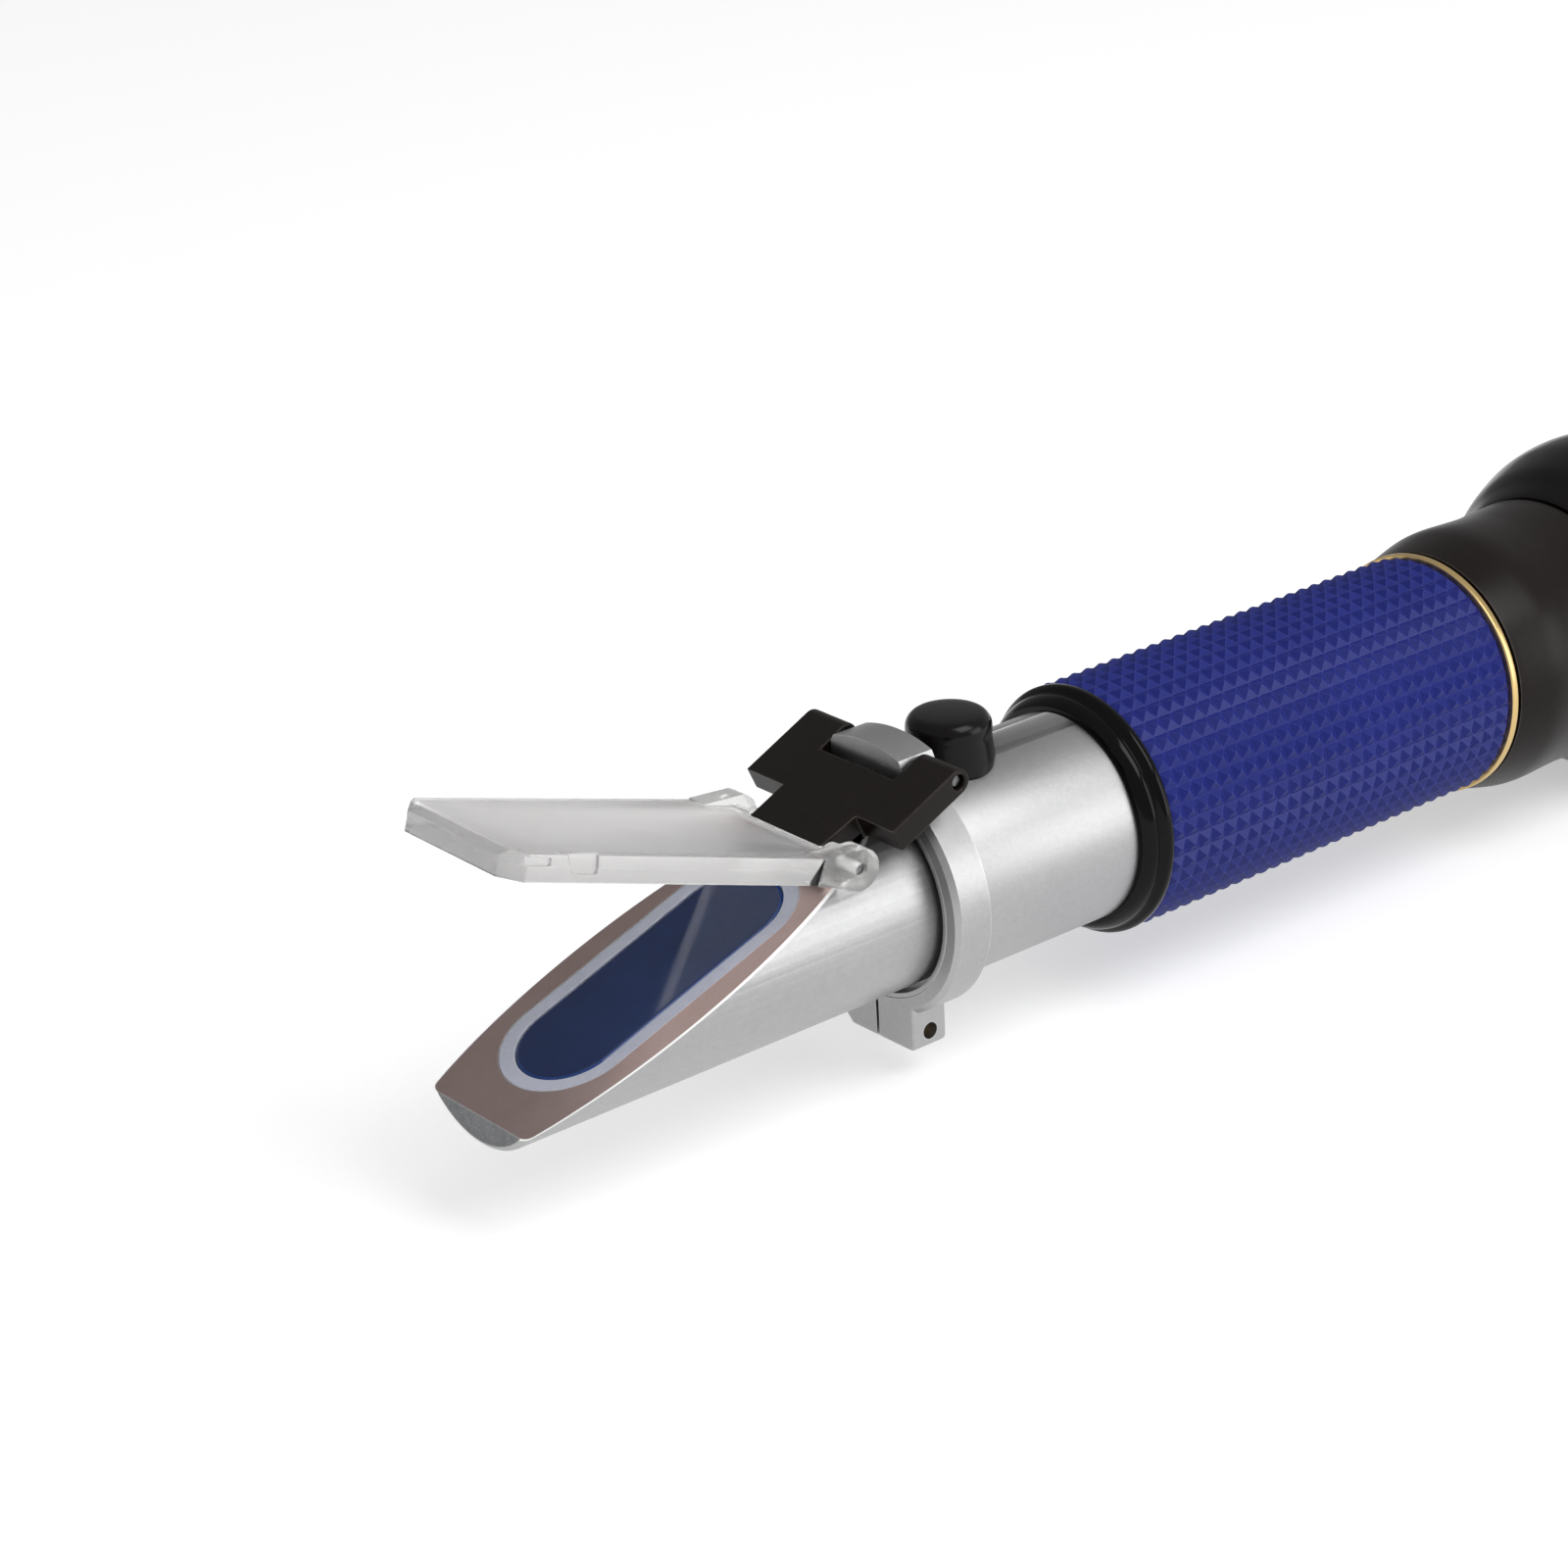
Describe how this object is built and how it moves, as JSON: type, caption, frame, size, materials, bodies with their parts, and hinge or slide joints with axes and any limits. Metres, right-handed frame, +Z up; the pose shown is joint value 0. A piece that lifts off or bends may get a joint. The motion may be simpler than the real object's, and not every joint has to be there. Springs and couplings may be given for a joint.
{
  "type": "handheld refractometer",
  "caption": "Handheld refractometer with a slanted prism under a hinged clear plate, a metal tube, a knurled blue grip and a focusing eyepiece",
  "frame": {"origin": "middle of the bounding box in plan, at its lowest point", "axes": "+X along the tube towards the eyepiece, +Z up, +Y to the side away from the picture's camera"},
  "size_m": [0.1858, 0.0436, 0.0471],
  "materials": {
    "aluminium": "bead-blasted satin",
    "blue_glass": "polished",
    "cement": "pale resin",
    "black_rubber": "moulded",
    "brass": "turned",
    "steel": "ground",
    "black_plastic": "satin",
    "clear_plastic": "clear, frosted middle",
    "gloss_black": "glossy",
    "blue_rubber": "knurled",
    "black_metal": "matt black",
    "clear_glass": "polished"
  },
  "bodies": {
    "tube_body": {"prism_head": "aluminium", "measuring_prism": "blue_glass", "prism_cement": "cement", "head_seal": "black_rubber", "main_tube": "aluminium", "clamp_ring": "aluminium", "clamp_screw": "brass", "link_pin": "steel", "calibration_bush": "brass", "grip_front_ring": "gloss_black", "grip_sleeve": "blue_rubber", "grip_rear_ring": "brass", "objective_cell": "black_metal", "objective_crown": "clear_glass", "objective_flint": "clear_glass", "objective_retainer": "black_metal", "bimetal_strip": "steel", "compensator_frame": "black_metal", "compensator_wedge": "clear_glass", "light_baffle": "black_metal", "reticle_holder": "black_metal", "reticle_disc": "clear_glass", "reticle_retainer": "black_metal", "focus_clip": "steel"},
    "link_body": {"cover_link": "black_plastic", "plate_pin": "steel"},
    "plate_body": {"daylight_plate": "clear_plastic"},
    "screw_body": {"calibration_screw": "steel"},
    "cap_body": {"calibration_cap": "black_rubber"},
    "focus_body": {"focus_ring": "black_plastic"},
    "eyepiece_body": {"eyepiece_barrel": "black_metal", "guide_pin": "steel", "field_lens": "clear_glass", "lens_spacer": "black_metal", "eye_lens": "clear_glass", "eye_lens_retainer": "black_metal", "eyecup": "black_rubber"}
  },
  "joints": [
    {"name": "link_hinge", "type": "hinge", "parent": "tube_body", "child": "link_body", "pos_m": [-0.03492, 0, 0.03795], "axis": [0, 1, 0], "range_deg": [0, 75]},
    {"name": "plate_hinge", "type": "hinge", "parent": "link_body", "child": "plate_body", "pos_m": [-0.04842, 0, 0.03175], "axis": [0, 1, 0], "range_deg": [-37.7, 60]},
    {"name": "calibration_turn", "type": "hinge", "parent": "tube_body", "child": "screw_body", "pos_m": [-0.02542, 0, 0.0358], "axis": [0, 0, 1], "range_deg": [-180, 180]},
    {"name": "cap_pull", "type": "slide", "parent": "tube_body", "child": "cap_body", "axis": [0, 0, 1], "range_m": [0, 0.009]},
    {"name": "focus_turn", "type": "hinge", "parent": "tube_body", "child": "focus_body", "pos_m": [0.05268, 0, 0.0218], "axis": [1, 0, 0], "range_deg": [0, 150]},
    {"name": "focus_travel", "type": "slide", "parent": "focus_body", "child": "eyepiece_body", "axis": [1, 0, 0], "range_m": [0, 0.005]}
  ],
  "couplings": [
    {"joint": "focus_travel", "follows": "focus_turn", "m_per_rad": 0.0019099}
  ]
}
